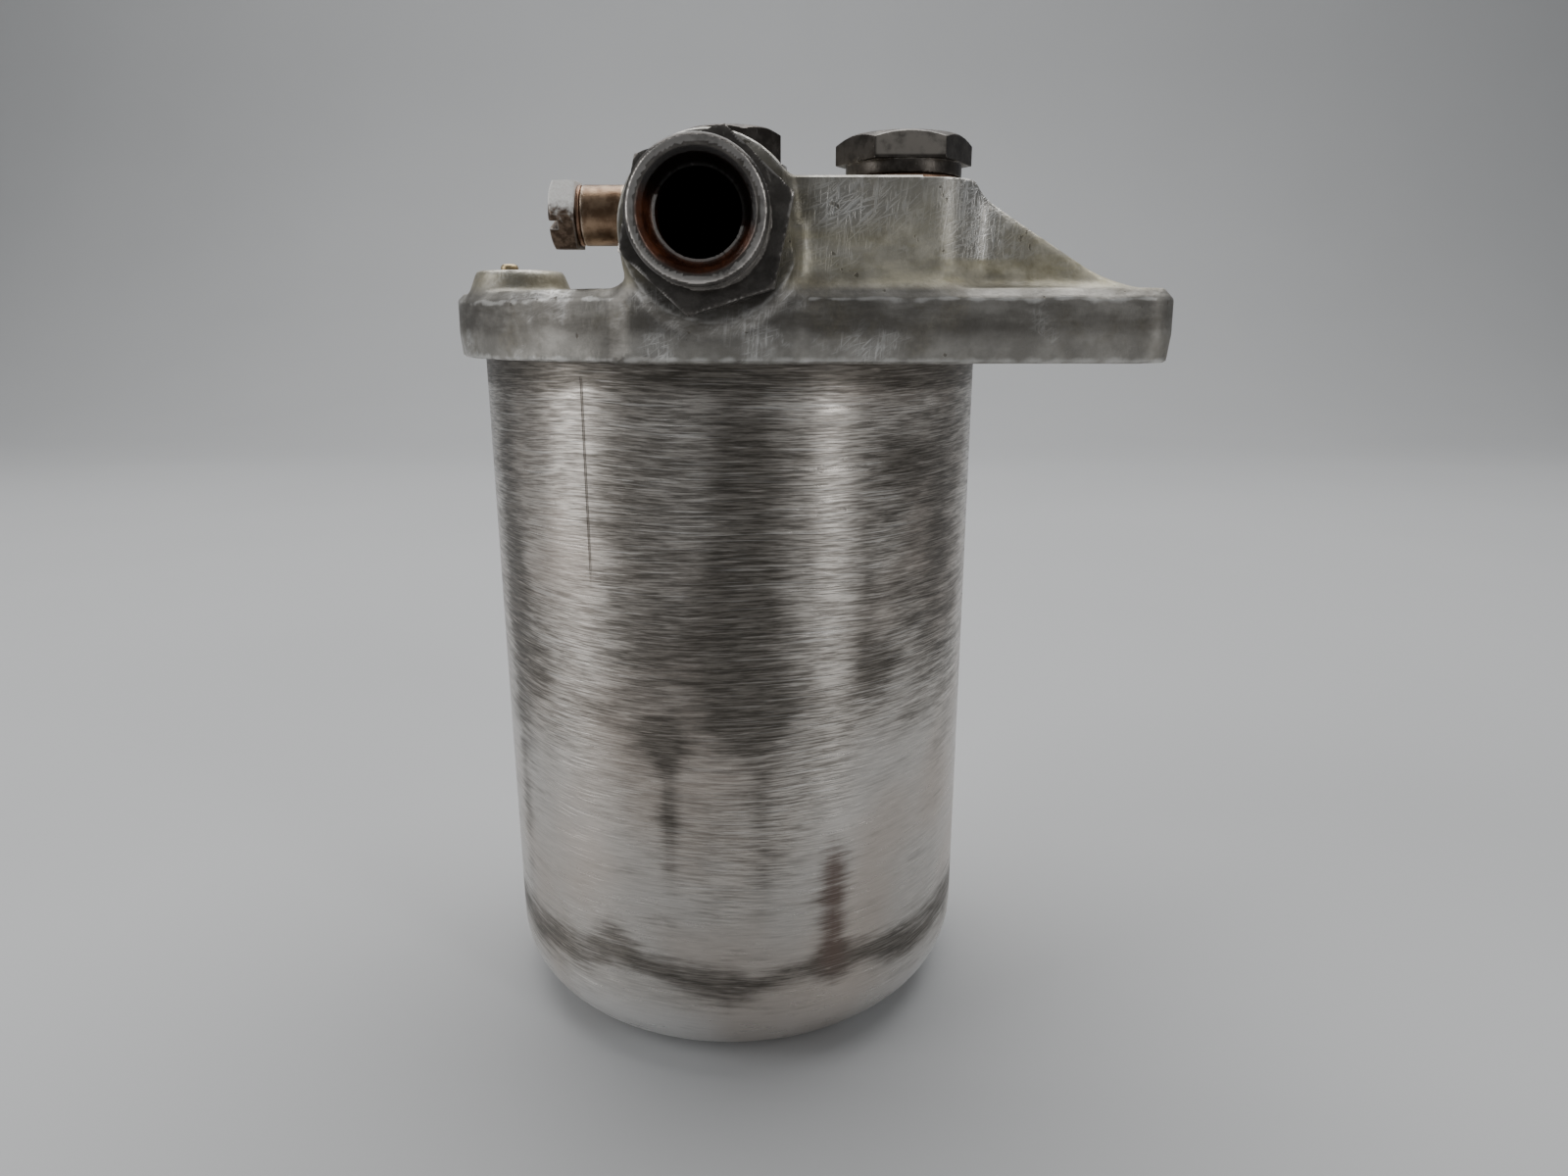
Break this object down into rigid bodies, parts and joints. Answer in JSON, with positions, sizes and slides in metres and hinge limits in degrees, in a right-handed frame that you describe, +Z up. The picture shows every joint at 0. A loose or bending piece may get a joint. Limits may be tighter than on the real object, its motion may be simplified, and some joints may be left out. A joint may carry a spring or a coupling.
{
  "type": "fuel filter",
  "caption": "Canister fuel filter: cast head with a side arm, hexagon inlet union and plugs, over a deep-drawn steel bowl that holds a spring-loaded paper element.",
  "frame": {"origin": "centre of the bowl's base, on the surface that the filter stands on", "axes": "+Z up along the bowl's axis, -Y out of the inlet union, +X along the mounting arm"},
  "size_m": [0.1202, 0.1257, 0.1697],
  "materials": {
    "bowl_steel": "bare, sanded, blotchy tarnish",
    "cast_aluminium": "sand cast, partly ground, stained in the recesses",
    "dark_steel": "old dark plating, bright on the worn edges",
    "union_steel": "old plating, worn edges, rust inside",
    "plated_steel": "bright zinc plating, worn",
    "bronze": "tarnished brown",
    "brass": "dull",
    "copper": "annealed, dull",
    "rubber": "matt",
    "filter_paper": "matt, finely fibrous",
    "filter_card": "matt",
    "tinplate": "thin tinned sheet",
    "spring_steel": "drawn wire, oiled"
  },
  "bodies": {
    "bowl_unit": {"bowl": "bowl_steel", "centre_post": "dark_steel", "post_collar": "brass", "pressure_spring": "spring_steel"},
    "head_unit": {"filter_head": "cast_aluminium", "bowl_gasket": "rubber", "pad_plug": "brass", "bleed_sleeve": "bronze"},
    "element_unit": {"element_paper": "filter_paper", "element_wrap": "filter_card", "element_core": "tinplate", "element_top_cap": "tinplate", "element_bottom_cap": "tinplate", "element_top_seal": "rubber", "element_bottom_seal": "rubber", "spring_cup": "tinplate"},
    "centre_bolt_washer": {"centre_bolt_washer": "union_steel"},
    "centre_bolt": {"centre_bolt": "dark_steel"},
    "gallery_plug_washer": {"gallery_plug_washer": "copper"},
    "gallery_plug": {"gallery_plug": "dark_steel"},
    "inlet_union_washer": {"inlet_union_washer": "union_steel"},
    "inlet_union": {"inlet_union": "union_steel"},
    "bleed_screw_washer": {"bleed_screw_washer": "copper"},
    "bleed_screw": {"bleed_screw": "plated_steel"}
  },
  "joints": [
    {"name": "head_lift", "type": "slide", "parent": "bowl_unit", "child": "head_unit", "axis": [0, 0, 1], "range_m": [0, 0.06]},
    {"name": "element_press", "type": "slide", "parent": "bowl_unit", "child": "element_unit", "axis": [0, 0, -1], "range_m": [0, 0.004], "stiffness_N_per_m": 2500, "springref_m": -0.006, "deforming": ["pressure_spring"]},
    {"name": "centre_bolt_advance", "type": "slide", "parent": "head_unit", "child": "centre_bolt_washer", "axis": [0, 0, 1], "range_m": [0, 0.015]},
    {"name": "centre_bolt_turn", "type": "hinge", "parent": "centre_bolt_washer", "child": "centre_bolt", "pos_m": [0, 0, 0.1635], "axis": [0, 0, 1], "range_deg": [0, 3636]},
    {"name": "gallery_plug_advance", "type": "slide", "parent": "head_unit", "child": "gallery_plug_washer", "axis": [0, 0, 1], "range_m": [0, 0.006]},
    {"name": "gallery_plug_turn", "type": "hinge", "parent": "gallery_plug_washer", "child": "gallery_plug", "pos_m": [0.0295, -0.03, 0.1573], "axis": [0, 0, 1], "range_deg": [0, 1476]},
    {"name": "inlet_union_advance", "type": "slide", "parent": "head_unit", "child": "inlet_union_washer", "axis": [0, -1, 0], "range_m": [0, 0.012]},
    {"name": "inlet_union_turn", "type": "hinge", "parent": "inlet_union_washer", "child": "inlet_union", "pos_m": [-0.0005, -0.0533, 0.1482], "axis": [0, -1, 0], "range_deg": [0, 2916]},
    {"name": "bleed_screw_advance", "type": "slide", "parent": "head_unit", "child": "bleed_screw_washer", "axis": [-1, 0, 0], "range_m": [0, 0.003]},
    {"name": "bleed_screw_turn", "type": "hinge", "parent": "bleed_screw_washer", "child": "bleed_screw", "pos_m": [-0.0216, -0.038, 0.1511], "axis": [-1, 0, 0], "range_deg": [0, 1116]}
  ],
  "couplings": [
    {"joint": "centre_bolt_turn", "follows": "centre_bolt_advance", "rad_per_m": 4188.8},
    {"joint": "gallery_plug_turn", "follows": "gallery_plug_advance", "rad_per_m": 4188.8},
    {"joint": "inlet_union_turn", "follows": "inlet_union_advance", "rad_per_m": 4188.8},
    {"joint": "bleed_screw_turn", "follows": "bleed_screw_advance", "rad_per_m": 6283.2}
  ]
}
